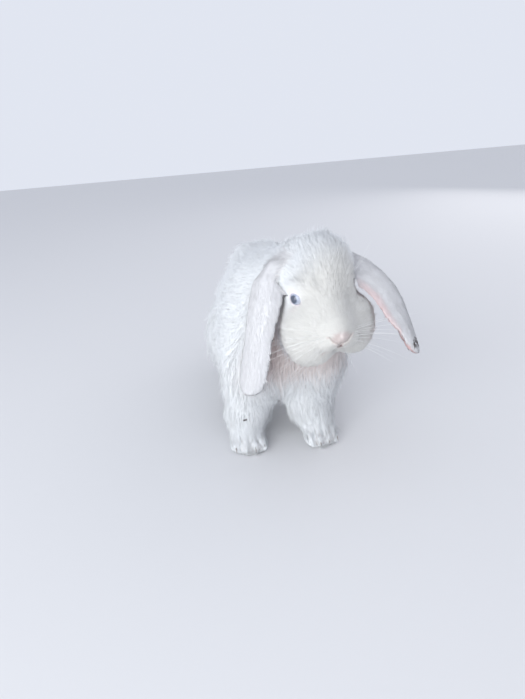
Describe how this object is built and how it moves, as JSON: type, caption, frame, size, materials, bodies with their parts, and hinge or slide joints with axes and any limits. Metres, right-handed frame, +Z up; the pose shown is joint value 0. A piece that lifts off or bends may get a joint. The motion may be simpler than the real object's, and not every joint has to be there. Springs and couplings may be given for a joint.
{
  "type": "lop-eared rabbit",
  "caption": "Life-size white lop-eared rabbit, up on its forelegs with its haunches folded, one ear hanging and the other swung out, blue-eyed.",
  "frame": {"origin": "middle of the outline from above, on the floor", "axes": "+Z up, the rabbit faces -Y, its left side is +X"},
  "size_m": [0.1934, 0.3676, 0.2252],
  "materials": {
    "coat": "soft matte white fur",
    "ear": "short white fur, bare pink skin inside",
    "eye": "wet, clear over a pale blue iris and a dark pupil",
    "claw": "smooth horn",
    "whisker": "stiff white hair"
  },
  "bodies": {
    "root": {"head": "coat", "eye_left": "eye", "eye_right": "eye", "ear_right": "ear", "ear_left": "ear", "neck": "coat", "trunk": "coat", "tail": "coat", "foreleg_left": "coat", "thigh_left": "coat", "forefoot_left": "coat", "foreclaw_left_1": "claw", "foreclaw_left_2": "claw", "foreclaw_left_3": "claw", "foreclaw_left_4": "claw", "hindfoot_left": "coat", "hindclaw_left_1": "claw", "hindclaw_left_2": "claw", "hindclaw_left_3": "claw", "hindclaw_left_4": "claw", "foreleg_right": "coat", "thigh_right": "coat", "forefoot_right": "coat", "foreclaw_right_1": "claw", "foreclaw_right_2": "claw", "foreclaw_right_3": "claw", "foreclaw_right_4": "claw", "hindfoot_right": "coat", "hindclaw_right_1": "claw", "hindclaw_right_2": "claw", "hindclaw_right_3": "claw", "hindclaw_right_4": "claw"}
  },
  "joints": []
}
